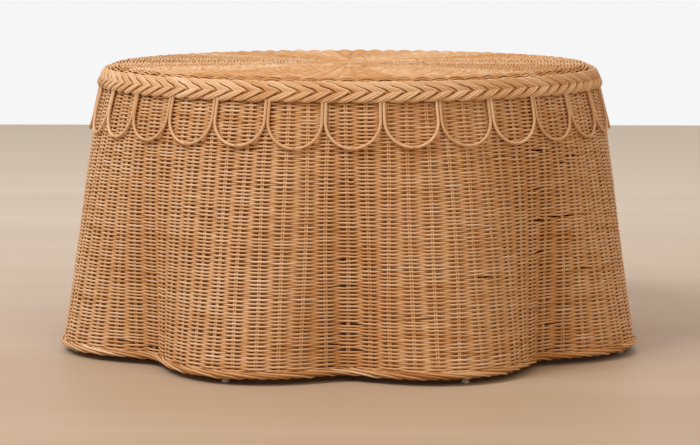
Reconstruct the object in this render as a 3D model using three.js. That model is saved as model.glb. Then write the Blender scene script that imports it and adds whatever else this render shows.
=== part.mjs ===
// Round woven rattan coffee table: a fluted skirt that flares to the floor, a plaited rim and a row of
// cane scallops, woven over a frame of bent rattan poles.
// Millimetres, +Z up. The origin is on the floor, under the middle of the table. The front faces -Y.

import * as THREE from 'three';

// Overall sizes
const tableHeight = 446.5; // floor to the face of the woven top
const rimRadius = 405; // widest line of the rim
const hemCrestRadius = 477; // outer face of the skirt at the hem, on the crest of a flute
const hemValleyRadius = 416; // the same, in the valley between two flutes
const hemLift = 7.5; // clear height under the hem
const gap = 0.3; // left between pieces that touch

// Flutes
const fluteCount = 8; // a valley lies at the middle of the front
const valleyRoundShare = 0.2; // how round the valleys are, as a share of a flute's half width
const bellShare = 0.25; // how much more steeply the skirt flares at the rim and the hem than between them
const bellyShare = 0.18; // how far it swells out between them
const depthPower = 1.5; // the flutes deepen faster towards the hem

// Woven skirt and its rolled border. A stake is a pair of thin canes that the weaver goes round.
const skirtWall = 6;
const skirtTuck = 10; // how far the skirt reaches up behind the rim
const spokeCount = 29; // spokes at the middle of the woven top
const stakesPerSpoke = 3; // each spoke splits into so many stakes, which run on down the skirt
const stakePhaseShare = 0.07; // turn of the first stake from the front, as a share of their pitch
const stakeRelief = 1.8; // how far the weave falls back between two stakes
const hemBorderHeight = 17;
const hemBorderWidth = 14;

// Plaited rim
const rimHeight = 29;
const rimWidth = 11;
const rimOverhang = 5; // how far the rim stands out over the top of the skirt
const rimToe = 1.5; // the rim's underside ends this far inside its widest line
const rimBellyRise = 6; // height of the widest line over the rim's underside
const rimLeanPower = 1.4; // the rim's outer face leans in more towards its top

// Woven top and the panel below it
const wovenTopThickness = 10;
const wovenTopEdge = 20; // width of the band where the top curves down to the rim
const wovenTopEdgeDrop = 7;
const wovenTopCoilRadius = 22; // flat coil that holds the spokes
const spokeSplitRadius = 126; // where the spokes split into stakes
const spokeRelief = 1.5; // how far the weave falls back between two spokes
const topPanelThickness = 9;

// Frame of rattan poles
const topRingPole = 24;
const crossRailPole = 22;
const middleRingPole = 12;
const middleRingHeight = 200;
const baseRingPole = 16;
const legPole = 18;
const legClearance = 0.6; // between a leaning leg and the middle ring
const legStraightEnd = 10; // length of a leg's straight ends
const legLeanShares = [0, 0.35, 0.7, 1]; // where a leg follows the skirt, from the middle ring down

// Clear plastic glides
const glideRadius = 6.5;
const glideFaceRadius = 4;
const glideNeckRadius = 4.5;
const glideBulgeRise = 2;
const glideNeckRise = 6;

// Cane scallops under the rim
const scallopCount = 30;
const scallopPhaseShare = 0.13; // turn of the first scallop from the front, as a share of their pitch
const scallopCane = 4.6;
const scallopDrop = 66; // rim's underside to the middle of the cane at the lowest point
const scallopStandOff = 1.5; // between the cane and the weave at the lowest point

// Facets
const facetsPerFlute = 10;
const facetsPerTopRingFacet = 2; // the top ring is round, so it needs fewer
const poleSides = 8;
const legSides = 5;
const caneSides = 5;
const rimArcSteps = 3;
const legSteps = 6;
const scallopBendSteps = 8;
const glideSides = 8;
const slopeProbe = 0.001; // radians
const skirtRowShares = [0.26, 0.78];
const scallopRowShare = 0.1; // a row of corners outside only, behind the scallops
const topEdgeShares = [1, 0.5]; // where the top's edge is rounded, from the rim inwards

// Places that follow from the sizes
const turn = 2 * Math.PI;
const facets = fluteCount * facetsPerFlute;
const topRingFacets = facets / facetsPerTopRingFacet;
const stakeCount = spokeCount * stakesPerSpoke;
const firstStake = (turn * stakePhaseShare) / stakeCount;
const flutePitch = turn / fluteCount;
const rimTop = tableHeight - wovenTopEdgeDrop;
const rimUnderside = rimTop - rimHeight;
const rimInnerRadius = rimRadius - rimWidth;
const skirtTopRadius = rimRadius - rimOverhang;
const wovenTopUnderside = tableHeight - wovenTopThickness;
const topPanelFace = wovenTopUnderside - gap;
const topPanelUnderside = topPanelFace - topPanelThickness;
const frameTop = topPanelUnderside - gap; // top of the top ring and the rails
const skirtTop = rimUnderside + skirtTuck;
const topRingRadius = skirtTopRadius - skirtWall - gap - topRingPole / 2;
const topRingMiddle = frameTop - topRingPole / 2;
const hemTop = hemLift + hemBorderHeight;
const hemMiddle = hemLift + hemBorderHeight / 2;
const skirtBottom = hemTop + gap;
const hemBorderDepth = skirtWall / 2; // depths of the rings' middles are taken from the skirt's face
const baseRingDepth = hemBorderDepth + hemBorderWidth / 2 + gap + baseRingPole / 2;
const middleRingDepth = skirtWall + gap + middleRingPole / 2;
const scallopSteps = scallopBendSteps + 2;

function onCircle(radius, angle, height) {
  return new THREE.Vector3(radius * Math.sin(angle), -radius * Math.cos(angle), height);
}

// Share of a flute's depth at an angle: 0 in a valley, 1 on a crest, with round valleys.
function fluteShare(angle) {
  const wave = Math.sin((fluteCount * angle) / 2);
  const rounded = Math.hypot(wave, valleyRoundShare) - valleyRoundShare;
  return rounded / (Math.hypot(1, valleyRoundShare) - valleyRoundShare);
}

// Radius of the skirt's outer face. The skirt is round behind the rim and fluted below it.
function skirtRadius(angle, height) {
  const fall = (rimUnderside - height) / (rimUnderside - skirtBottom);
  const share = Math.min(1, Math.max(0, fall));
  const flare = share + share * (1 - share) * (bellyShare + bellShare * (1 - 2 * share));
  const crest = skirtTopRadius + (hemCrestRadius - skirtTopRadius) * flare;
  const depth = (hemCrestRadius - hemValleyRadius) * share ** depthPower;
  return crest - depth * (1 - fluteShare(angle));
}

// Point at a depth inside the skirt's outer face, measured square to that face as seen from above.
function insideSkirt(angle, height, depth, pointHeight = height) {
  const radius = skirtRadius(angle, height);
  const rise = skirtRadius(angle + slopeProbe, height) - skirtRadius(angle - slopeProbe, height);
  const slope = rise / (2 * slopeProbe);
  const along = new THREE.Vector3(Math.cos(angle), Math.sin(angle), 0);
  const outward = onCircle(radius, angle, 0).addScaledVector(along, -slope).normalize();
  return onCircle(radius, angle, pointHeight).addScaledVector(outward, -depth);
}

// Closed ring of corners at equal angles, anticlockwise as seen from above.
function ringOf(columns, start, pointAt) {
  return Array.from({ length: columns }, (_, column) => {
    const angle = start + (turn * column) / columns;
    return { angle, point: pointAt(angle, column) };
  });
}

// Skin over a row of rings, which may have different numbers of corners: it steps round both rings of a
// pair by angle. A ring of one corner closes an end. The rings follow a section that runs anticlockwise,
// with the radius to the right and the height upwards.
function skinGeometry(rings, closed) {
  const positions = [];
  const indices = [];
  const firsts = rings.map((ring) => {
    const first = positions.length / 3;
    ring.forEach(({ point }) => positions.push(point.x, point.y, point.z));
    return first;
  });
  const angleAfter = (ring, corner) => {
    if (ring.length === 1 || corner === ring.length) return Infinity;
    return corner + 1 === ring.length ? ring[0].angle + turn : ring[corner + 1].angle;
  };
  const pairs = closed ? rings.length : rings.length - 1;
  for (let index = 0; index < pairs; index += 1) {
    const next = (index + 1) % rings.length;
    const here = (corner) => firsts[index] + (corner % rings[index].length);
    const there = (corner) => firsts[next] + (corner % rings[next].length);
    let near = 0;
    let far = 0;
    for (;;) {
      const nearAngle = angleAfter(rings[index], near);
      const farAngle = angleAfter(rings[next], far);
      if (nearAngle === Infinity && farAngle === Infinity) break;
      if (nearAngle <= farAngle) {
        indices.push(here(near), here(near + 1), there(far));
        near += 1;
      } else {
        indices.push(here(near), there(far + 1), there(far));
        far += 1;
      }
    }
  }
  const geometry = new THREE.BufferGeometry();
  geometry.setAttribute('position', new THREE.Float32BufferAttribute(positions, 3));
  geometry.setIndex(indices);
  geometry.computeVertexNormals();
  return geometry;
}

// Offsets of the corners of an oval section from its middle.
function ovalCorners(width, height, sides) {
  return Array.from({ length: sides }, (_, side) => {
    const angle = (turn * side) / sides;
    return { out: (width / 2) * Math.cos(angle), up: (height / 2) * Math.sin(angle) };
  });
}

// Ring that follows the skirt as it lies at one height, at a depth inside its face.
function fluteRingGeometry({ skirtHeight, middle, depth, width, height, sides, columns = facets }) {
  const rings = ovalCorners(width, height, sides).map((corner) =>
    ringOf(columns, 0, (angle) => insideSkirt(angle, skirtHeight, depth - corner.out, middle + corner.up)),
  );
  return skinGeometry(rings, true);
}

// Walled shell with a rib at each stake below the rim. It has a row of corners at the middle ring, which
// lies against its inside.
function skirtGeometry() {
  const heightAt = (share) => rimUnderside - share * (rimUnderside - skirtBottom);
  const rows = [skirtTop, rimUnderside, middleRingHeight, skirtBottom, ...skirtRowShares.map(heightAt)];
  const rowsUp = [...rows, heightAt(scallopRowShare)].sort((one, other) => one - other);
  const rowsDown = rows.sort((one, other) => other - one);
  const outside = rowsUp.map((height) => {
    const relief = height < rimUnderside ? stakeRelief : 0;
    return ringOf(2 * stakeCount, firstStake, (angle, column) =>
      insideSkirt(angle, height, (column % 2) * relief),
    );
  });
  const inside = rowsDown.map((height) =>
    ringOf(facets, 0, (angle) => insideSkirt(angle, height, skirtWall)),
  );
  return skinGeometry([...outside, ...inside], true);
}

// The rim hooks over the top ring and the top of the skirt, with a rounded outer face that leans in. Its
// corners lie at the stakes.
function rimGeometry() {
  const belly = rimUnderside + rimBellyRise;
  const outline = [
    [skirtTopRadius + gap, rimUnderside],
    [rimRadius - rimToe, rimUnderside],
  ];
  for (let step = 0; step <= rimArcSteps; step += 1) {
    const share = step / rimArcSteps;
    outline.push([rimRadius - rimWidth * share ** rimLeanPower, belly + (rimTop - belly) * share]);
  }
  outline.push([rimInnerRadius, frameTop + gap]);
  outline.push([skirtTopRadius - skirtWall + gap, skirtTop + gap], [skirtTopRadius + gap, skirtTop + gap]);
  const rings = outline.map(([radius, height]) =>
    ringOf(stakeCount, firstStake, (angle) => onCircle(radius, angle, height)),
  );
  return skinGeometry(rings, true);
}

// Solid of revolution about +Z from [radius, height] points that start and end on the axis, going up.
function turnedGeometry(profile, sides, start = 0) {
  const points = profile.map(([radius, height]) => new THREE.Vector2(radius, height));
  return new THREE.LatheGeometry(points, sides, start).rotateX(Math.PI / 2);
}

// The woven top is flat and curves down to the rim at its edge. A rib runs along each spoke, and beyond the
// split along each stake, from the flat coil in the middle to the rim.
function wovenTopGeometry() {
  const radius = rimInnerRadius - gap;
  const flatRadius = radius - wovenTopEdge;
  const edge = (share) =>
    ringOf(stakeCount, firstStake, (angle) =>
      onCircle(flatRadius + wovenTopEdge * share, angle, tableHeight - wovenTopEdgeDrop * share ** 2),
    );
  const ribs = (columns, ringRadius, relief) =>
    ringOf(columns, firstStake, (angle, column) =>
      onCircle(ringRadius, angle, tableHeight - (column % 2) * relief),
    );
  const rings = [
    ringOf(1, 0, () => onCircle(0, 0, wovenTopUnderside)),
    ringOf(stakeCount, firstStake, (angle) => onCircle(radius, angle, wovenTopUnderside)),
    ...topEdgeShares.map(edge),
    ribs(2 * stakeCount, flatRadius, spokeRelief),
    ribs(2 * stakeCount, spokeSplitRadius, spokeRelief),
    ribs(2 * spokeCount, wovenTopCoilRadius, 0),
    ringOf(1, 0, () => onCircle(0, 0, tableHeight)),
  ];
  return skinGeometry(rings, false);
}

function topPanelGeometry() {
  const radius = rimInnerRadius - gap;
  const profile = [
    [0, topPanelUnderside],
    [radius, topPanelUnderside],
    [radius, topPanelFace],
    [0, topPanelFace],
  ];
  return turnedGeometry(profile, stakeCount, firstStake);
}

function glideGeometry() {
  const seat = hemMiddle - baseRingPole / 2 - gap;
  const profile = [
    [0, 0],
    [glideFaceRadius, 0],
    [glideRadius, glideBulgeRise],
    [glideNeckRadius, glideNeckRise],
    [glideNeckRadius, seat],
    [0, seat],
  ];
  return turnedGeometry(profile, glideSides);
}

function roundSection(diameter, sides) {
  const corners = ovalCorners(diameter, diameter, sides);
  return new THREE.Shape(corners.map((corner) => new THREE.Vector2(corner.out, corner.up)));
}

function tubeGeometry(path, diameter, sides, steps) {
  return new THREE.ExtrudeGeometry(roundSection(diameter, sides), { extrudePath: path, steps });
}

// A leg stands on the base ring behind the crest of a flute, leans in with the skirt as far as the middle
// ring, passes behind that and ends under the top ring.
function legPath(angle) {
  const top = frameTop - topRingPole - gap;
  const bottom = hemMiddle + baseRingPole / 2 + gap;
  const middleInset = middleRingDepth + middleRingPole / 2 + legClearance + legPole / 2;
  const points = [onCircle(topRingRadius, angle, top), onCircle(topRingRadius, angle, top - legStraightEnd)];
  legLeanShares.forEach((share) => {
    const height = middleRingHeight + (bottom + legStraightEnd - middleRingHeight) * share;
    const inset = middleInset + (baseRingDepth - middleInset) * share;
    points.push(onCircle(skirtRadius(angle, height) - inset, angle, height));
  });
  points.push(onCircle(skirtRadius(angle, skirtBottom) - baseRingDepth, angle, bottom));
  return new THREE.CatmullRomCurve3(points);
}

// One scallop: two upright ends under the rim, joined by a half circle. The cane lies on the skirt at
// the rim and stands off a little at its lowest point.
class ScallopCurve extends THREE.Curve {
  constructor(middleAngle) {
    super();
    this.middleAngle = middleAngle;
    const probe = scallopCane / 2;
    const lean = (skirtRadius(flutePitch / 2, rimUnderside - probe) - skirtTopRadius) / probe;
    const stray = (scallopStandOff - gap) / scallopDrop;
    this.top = rimUnderside - gap - probe * (lean + stray); // the leaning end keeps clear of the rim
    const hangRadius = skirtTopRadius + scallopCane / 2;
    const pitch = (turn * hangRadius) / scallopCount;
    this.halfWidth = (pitch - scallopCane) / 2 - gap;
    this.straight = scallopDrop - gap - this.halfWidth;
  }

  // The straight ends take one step each, and the half circle takes the rest.
  getUtoTmapping(share) {
    return share;
  }

  getPoint(share, target = new THREE.Vector3()) {
    const step = share * scallopSteps;
    let across = -this.halfWidth;
    let fall = this.straight * step;
    if (step > scallopBendSteps + 1) {
      across = this.halfWidth;
      fall = this.straight * (scallopSteps - step);
    } else if (step > 1) {
      const swing = (Math.PI * (step - 1)) / scallopBendSteps;
      across = -this.halfWidth * Math.cos(swing);
      fall = this.straight + this.halfWidth * Math.sin(swing);
    }
    const height = this.top - fall;
    const angle = this.middleAngle + across / (skirtTopRadius + scallopCane / 2);
    const standOff = gap + (scallopStandOff - gap) * (fall / scallopDrop);
    const radius = skirtRadius(angle, height) + scallopCane / 2 + standOff;
    return target.copy(onCircle(radius, angle, height));
  }
}

// Finishes
const weave = { color: 0xc69a68, roughness: 0.7, metalness: 0 };
const plait = { color: 0xcfa775, roughness: 0.65, metalness: 0 };
const cane = { color: 0xd8b07c, roughness: 0.55, metalness: 0 };
const pole = { color: 0xb88a57, roughness: 0.75, metalness: 0 };
const plywood = { color: 0xd2b48c, roughness: 0.85, metalness: 0 };
const clearPlastic = { color: 0xe6e1d6, roughness: 0.3, metalness: 0 };

const table = new THREE.Group();

function addPiece(name, geometry, finish) {
  const mesh = new THREE.Mesh(geometry, new THREE.MeshStandardMaterial(finish));
  mesh.name = name;
  table.add(mesh);
  return mesh;
}

function numbered(name, index) {
  return `${name}_${String(index + 1).padStart(2, '0')}`;
}

// Top and rim
addPiece('woven_top', wovenTopGeometry(), weave);
addPiece('top_panel', topPanelGeometry(), plywood);
addPiece('rim_braid', rimGeometry(), plait);

// Skirt and border
addPiece('skirt', skirtGeometry(), weave);
const hemBorder = {
  skirtHeight: skirtBottom,
  middle: hemMiddle,
  depth: hemBorderDepth,
  width: hemBorderWidth,
  height: hemBorderHeight,
  sides: poleSides,
};
addPiece('hem_border', fluteRingGeometry(hemBorder), plait);

// Rings of the frame
const topRing = {
  skirtHeight: frameTop,
  middle: topRingMiddle,
  depth: skirtTopRadius - topRingRadius,
  width: topRingPole,
  height: topRingPole,
  sides: poleSides,
  columns: topRingFacets,
};
addPiece('top_ring', fluteRingGeometry(topRing), pole);
const middleRing = {
  skirtHeight: middleRingHeight,
  middle: middleRingHeight,
  depth: middleRingDepth,
  width: middleRingPole,
  height: middleRingPole,
  sides: caneSides,
};
addPiece('middle_ring', fluteRingGeometry(middleRing), pole);
const baseRing = {
  skirtHeight: skirtBottom,
  middle: hemMiddle,
  depth: baseRingDepth,
  width: baseRingPole,
  height: baseRingPole,
  sides: poleSides,
};
addPiece('base_ring', fluteRingGeometry(baseRing), pole);

// Cross rails under the panel: one long rail and two short ones that meet it
const railRadius = crossRailPole / 2;
const railEnd = topRingRadius - topRingPole / 2 - railRadius * Math.tan(Math.PI / topRingFacets) - gap;
const railStart = railRadius + gap;
const railMiddle = frameTop - railRadius;
const longRail = new THREE.CylinderGeometry(railRadius, railRadius, 2 * railEnd, poleSides);
addPiece('cross_rail', longRail, pole).rotation.z = Math.PI / 2;
table.getObjectByName('cross_rail').position.z = railMiddle;
['cross_rail_front', 'cross_rail_back'].forEach((name, index) => {
  const side = index === 0 ? -1 : 1;
  const shortRail = new THREE.CylinderGeometry(railRadius, railRadius, railEnd - railStart, poleSides);
  addPiece(name, shortRail, pole).position.set(0, (side * (railEnd + railStart)) / 2, railMiddle);
});

// Legs behind the crests of the flutes, each over its own glide
for (let index = 0; index < fluteCount; index += 1) {
  const angle = (index + 1 / 2) * flutePitch;
  addPiece(numbered('leg', index), tubeGeometry(legPath(angle), legPole, legSides, legSteps), pole);
  const glide = addPiece(numbered('glide', index), glideGeometry(), clearPlastic);
  glide.position.copy(insideSkirt(angle, skirtBottom, baseRingDepth, 0));
}

// Scallops, anticlockwise from the front
for (let index = 0; index < scallopCount; index += 1) {
  const angle = (turn * (index + scallopPhaseShare)) / scallopCount;
  const path = new ScallopCurve(angle);
  addPiece(numbered('scallop', index), tubeGeometry(path, scallopCane, caneSides, scallopSteps), cane);
}

export default table;
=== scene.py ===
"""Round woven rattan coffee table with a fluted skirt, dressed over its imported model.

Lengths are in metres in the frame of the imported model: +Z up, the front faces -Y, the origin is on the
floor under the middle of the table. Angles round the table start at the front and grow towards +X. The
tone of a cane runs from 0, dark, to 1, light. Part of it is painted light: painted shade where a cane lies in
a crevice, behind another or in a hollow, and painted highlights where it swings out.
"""

import logging
import math
from dataclasses import dataclass
from enum import Enum
from typing import Any, Callable, Iterable, Mapping, Sequence

import bpy
import numpy as np
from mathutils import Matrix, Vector


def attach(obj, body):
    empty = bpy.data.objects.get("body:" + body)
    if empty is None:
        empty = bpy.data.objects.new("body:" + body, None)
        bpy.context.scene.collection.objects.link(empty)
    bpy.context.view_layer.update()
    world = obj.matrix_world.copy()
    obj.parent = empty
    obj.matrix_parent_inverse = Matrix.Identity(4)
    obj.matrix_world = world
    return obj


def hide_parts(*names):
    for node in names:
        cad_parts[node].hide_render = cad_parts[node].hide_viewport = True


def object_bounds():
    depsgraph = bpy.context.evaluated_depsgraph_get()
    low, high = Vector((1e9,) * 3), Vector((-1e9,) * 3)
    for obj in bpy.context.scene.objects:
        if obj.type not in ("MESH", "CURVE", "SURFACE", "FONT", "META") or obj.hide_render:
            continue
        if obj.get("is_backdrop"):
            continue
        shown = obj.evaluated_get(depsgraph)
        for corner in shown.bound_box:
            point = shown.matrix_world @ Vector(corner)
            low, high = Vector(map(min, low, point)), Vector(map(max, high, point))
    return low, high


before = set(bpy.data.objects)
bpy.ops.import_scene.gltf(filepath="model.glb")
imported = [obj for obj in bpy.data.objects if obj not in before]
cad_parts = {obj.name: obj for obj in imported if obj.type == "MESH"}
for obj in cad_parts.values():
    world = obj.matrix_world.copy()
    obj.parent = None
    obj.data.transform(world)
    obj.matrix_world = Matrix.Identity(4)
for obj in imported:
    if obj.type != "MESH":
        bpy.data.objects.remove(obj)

logging.basicConfig(level=logging.INFO, format="%(message)s")
log = logging.getLogger("table")

MM = 0.001
TURN = 2 * math.pi
BODY = "root"
LAY = "lay"  # attribute of canes and poles: the way along, the way around from 0 to 1, and the tone


class Slot(Enum):
    """The material slots of the record."""

    WEAVE = "rattan_weave"
    PLAIT = "rattan_plait"
    CANE = "rattan_cane"
    POLE = "rattan_pole"
    PLYWOOD = "plywood"
    PLASTIC = "clear_plastic"


# Finishes


def linear(code: str) -> tuple[float, float, float, float]:
    """Turn an sRGB hex colour into the linear colour that a shader takes.

    Args:
        code: Six hex digits, with or without a leading hash.

    Returns:
        Linear red, green and blue, and an alpha of 1.
    """
    digits = code.lstrip("#")
    shares = [int(digits[place:place + 2], 16) / 255 for place in (0, 2, 4)]
    red, green, blue = (
        share / 12.92 if share <= 0.04045 else ((share + 0.055) / 1.055) ** 2.4 for share in shares
    )
    return red, green, blue, 1.0


def add_node(
    tree: bpy.types.NodeTree,
    kind: str,
    settings: Mapping[str | int, Any] | None = None,
    links: Mapping[str | int, bpy.types.NodeSocket] | None = None,
) -> bpy.types.Node:
    """Add a node to a tree with its settings and its incoming links.

    Args:
        tree: The node tree.
        kind: The node's type, such as ShaderNodeTexNoise.
        settings: Properties or inputs by name or place; "stops" holds a colour ramp's places and hex codes.
        links: Outputs that feed the inputs, by the inputs' name or place.

    Returns:
        The new node.
    """
    node = tree.nodes.new(kind)
    for key, value in (settings or {}).items():
        if key == "stops":
            ramp = node.color_ramp
            while len(ramp.elements) < len(value):
                ramp.elements.new(0.5)
            for element, (place, colour) in zip(ramp.elements, value):
                element.position = place
                element.color = linear(colour)
        elif isinstance(key, str) and hasattr(node, key):
            setattr(node, key, value)
        else:
            node.inputs[key].default_value = value
    for key, source in (links or {}).items():
        tree.links.new(source, node.inputs[key])
    return node


def streaks(
    tree: bpy.types.NodeTree, run: float, around: float, noise: Mapping[str, float]
) -> tuple[bpy.types.Node, bpy.types.Node]:
    """Add streaks that follow a cane or a pole, read from its attribute.

    Args:
        tree: The node tree.
        run: Length of a streak.
        around: How finely the streaks divide the way around.
        noise: Settings of their noise.

    Returns:
        The parts of the attribute, X along, Y around and Z the tone, and the noise of the streaks.
    """
    lay = add_node(tree, "ShaderNodeAttribute", {"attribute_name": LAY})
    parts = add_node(tree, "ShaderNodeSeparateXYZ", links={0: lay.outputs["Vector"]})
    drawn = add_node(tree, "ShaderNodeMath", {"operation": "MULTIPLY", 1: 1 / run}, {0: parts.outputs["X"]})
    turned = add_node(tree, "ShaderNodeMath", {"operation": "MULTIPLY", 1: around}, {0: parts.outputs["Y"]})
    place = add_node(tree, "ShaderNodeCombineXYZ", links={0: drawn.outputs[0], 1: turned.outputs[0]})
    return parts, add_node(tree, "ShaderNodeTexNoise", noise, {"Vector": place.outputs[0]})


@dataclass(frozen=True)
class Coat:
    """A finish that is ready to be put on: its material and its slot."""

    material: bpy.types.Material
    slot: Slot | None


@dataclass(frozen=True)
class Finish:
    """What every finish has: the real material's name and the slot that it belongs to."""

    name: str
    slot: Slot | None = None

    def surface(self, tree: bpy.types.NodeTree) -> bpy.types.Node:
        """Add the nodes of the surface and return its shader. Each finish has its own."""
        raise NotImplementedError

    def coat(self) -> Coat:
        """Make the material.

        Returns:
            The finish, ready to be put on.
        """
        material = bpy.data.materials.new(self.name)
        material.use_nodes = True
        tree = material.node_tree
        tree.nodes.clear()
        shader = self.surface(tree)
        add_node(tree, "ShaderNodeOutputMaterial", links={"Surface": shader.outputs[0]})
        return Coat(material, self.slot)


@dataclass(frozen=True)
class CaneFinish(Finish):
    """Split or round rattan core: pale honey wood with fine fibres, satin where it is smooth.

    The eye sees each length of cane in a slightly different tan, with painted shade where it dives into the
    weave and a painted highlight where it swings out, fine streaks along it and a soft highlight.
    """

    dark: str = "#96581d"
    middle: str = "#c99560"
    light: str = "#f2d8b8"
    rosy: str = "#ead0a8"
    blush: float = 0.4
    patch: float = 120 * MM
    fibre_run: float = 14 * MM
    fibres_around: float = 10.0
    fibre_tone: float = 0.11
    fibre_height: float = 0.3 * MM
    roughness: float = 0.58
    bump: float = 0.25

    def surface(self, tree: bpy.types.NodeTree) -> bpy.types.Node:
        """Colour a cane by its tone and its fibres, and blush it in patches.

        Args:
            tree: The material's node tree.

        Returns:
            The shader.
        """
        noise = {"Scale": 1.6, "Detail": 3.0, "Roughness": 0.6}
        parts, fibres = streaks(tree, self.fibre_run, self.fibres_around, noise)
        sway = add_node(
            tree, "ShaderNodeMapRange",
            {"From Min": 0.3, "From Max": 0.7, "To Min": -self.fibre_tone, "To Max": self.fibre_tone},
            {"Value": fibres.outputs[0]},
        )
        tone = add_node(
            tree, "ShaderNodeMath", {"operation": "ADD", "use_clamp": True},
            {0: parts.outputs["Z"], 1: sway.outputs[0]},
        )
        tan = add_node(
            tree, "ShaderNodeValToRGB", {"stops": [(0.0, self.dark), (0.5, self.middle), (1.0, self.light)]},
            {0: tone.outputs[0]},
        )
        place = add_node(tree, "ShaderNodeTexCoord")
        patches = add_node(
            tree, "ShaderNodeTexNoise", {"Scale": 1 / self.patch, "Detail": 2.0, "Roughness": 0.5},
            {"Vector": place.outputs["Object"]},
        )
        blush = add_node(
            tree, "ShaderNodeMapRange", {"From Min": 0.4, "From Max": 0.75, "To Max": self.blush},
            {"Value": patches.outputs[0]},
        )
        colour = add_node(
            tree, "ShaderNodeMix", {"data_type": "RGBA", "blend_type": "MULTIPLY", 7: linear(self.rosy)},
            {0: blush.outputs[0], 6: tan.outputs[0]},
        )
        sheen = add_node(
            tree, "ShaderNodeMapRange",
            {"To Min": self.roughness - 0.08, "To Max": self.roughness + 0.14},
            {"Value": fibres.outputs[0]},
        )
        relief = add_node(
            tree, "ShaderNodeBump", {"Strength": self.bump, "Distance": self.fibre_height},
            {"Height": fibres.outputs[0]},
        )
        return add_node(
            tree, "ShaderNodeBsdfPrincipled", {"Specular IOR Level": 0.15, "IOR": 1.5},
            {"Base Color": colour.outputs[2], "Roughness": sheen.outputs[0], "Normal": relief.outputs[0]},
        )


@dataclass(frozen=True)
class PoleFinish(Finish):
    """Peeled rattan pole: light brown, streaked lengthwise, with a darker ring at each joint of the plant."""

    name: str = "rattan pole, peeled"
    slot: Slot = Slot.POLE
    dark: str = "#6f4a2b"
    middle: str = "#ad7e4d"
    light: str = "#c99b68"
    joint: str = "#5a3a20"
    joint_strength: float = 0.75
    joint_spacing: float = 260 * MM
    joint_width_share: float = 0.02
    fibre_run: float = 30 * MM
    fibres_around: float = 36.0
    fibre_height: float = 0.6 * MM
    roughness: float = 0.6
    bump: float = 0.5

    def surface(self, tree: bpy.types.NodeTree) -> bpy.types.Node:
        """Colour a pole by its fibres and its joints.

        Args:
            tree: The material's node tree.

        Returns:
            The shader.
        """
        noise = {"Scale": 1.0, "Detail": 4.0, "Roughness": 0.65}
        parts, fibres = streaks(tree, self.fibre_run, self.fibres_around, noise)
        tan = add_node(
            tree, "ShaderNodeValToRGB", {"stops": [(0.25, self.dark), (0.5, self.middle), (0.8, self.light)]},
            {0: fibres.outputs[0]},
        )
        spaced = add_node(
            tree, "ShaderNodeMath", {"operation": "MULTIPLY", 1: 1 / self.joint_spacing},
            {0: parts.outputs["X"]},
        )
        waved = add_node(
            tree, "ShaderNodeMath", {"operation": "PINGPONG", 1: 0.5}, {0: spaced.outputs[0]}
        )
        ring = add_node(
            tree, "ShaderNodeMapRange",
            {"From Max": self.joint_width_share, "To Min": self.joint_strength, "To Max": 0.0},
            {"Value": waved.outputs[0]},
        )
        colour = add_node(
            tree, "ShaderNodeMix", {"data_type": "RGBA", 7: linear(self.joint)},
            {0: ring.outputs[0], 6: tan.outputs[0]},
        )
        raised = add_node(
            tree, "ShaderNodeMath", {"operation": "ADD"}, {0: fibres.outputs[0], 1: ring.outputs[0]}
        )
        relief = add_node(
            tree, "ShaderNodeBump", {"Strength": self.bump, "Distance": self.fibre_height},
            {"Height": raised.outputs[0]},
        )
        return add_node(
            tree, "ShaderNodeBsdfPrincipled",
            {"Roughness": self.roughness, "Specular IOR Level": 0.35, "IOR": 1.5},
            {"Base Color": colour.outputs[2], "Normal": relief.outputs[0]},
        )


@dataclass(frozen=True)
class PlywoodFinish(Finish):
    """Rotary-cut birch plywood: pale, with long wandering grain on the faces and plies on the edge."""

    name: str = "birch plywood, uncoated"
    slot: Slot = Slot.PLYWOOD
    dark: str = "#a5794a"
    light: str = "#d9b98c"
    ply: float = 1.5 * MM
    ply_tone: float = 0.08
    grain: float = 9 * MM
    grain_height: float = 0.3 * MM
    roughness: float = 0.75

    def surface(self, tree: bpy.types.NodeTree) -> bpy.types.Node:
        """Draw the grain along X and a layer for each ply.

        Args:
            tree: The material's node tree.

        Returns:
            The shader.
        """
        place = add_node(tree, "ShaderNodeTexCoord")
        stretched = add_node(
            tree, "ShaderNodeMapping", {"Scale": (0.06, 1.0, 1.0)}, {"Vector": place.outputs["Object"]}
        )
        grain = add_node(
            tree, "ShaderNodeTexNoise",
            {"Scale": 1 / self.grain, "Detail": 5.0, "Roughness": 0.6, "Distortion": 0.6},
            {"Vector": stretched.outputs[0]},
        )
        height = add_node(tree, "ShaderNodeSeparateXYZ", links={0: place.outputs["Object"]})
        plies = add_node(
            tree, "ShaderNodeMath", {"operation": "PINGPONG", 1: self.ply}, {0: height.outputs["Z"]}
        )
        layer = add_node(
            tree, "ShaderNodeMapRange",
            {"From Max": self.ply, "To Min": -self.ply_tone, "To Max": self.ply_tone},
            {"Value": plies.outputs[0]},
        )
        mixed = add_node(
            tree, "ShaderNodeMath", {"operation": "ADD"}, {0: grain.outputs[0], 1: layer.outputs[0]}
        )
        colour = add_node(
            tree, "ShaderNodeValToRGB", {"stops": [(0.3, self.dark), (0.65, self.light)]},
            {0: mixed.outputs[0]},
        )
        relief = add_node(
            tree, "ShaderNodeBump", {"Strength": 0.2, "Distance": self.grain_height},
            {"Height": grain.outputs[0]},
        )
        return add_node(
            tree, "ShaderNodeBsdfPrincipled", {"Roughness": self.roughness, "IOR": 1.5},
            {"Base Color": colour.outputs[0], "Normal": relief.outputs[0]},
        )


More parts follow.
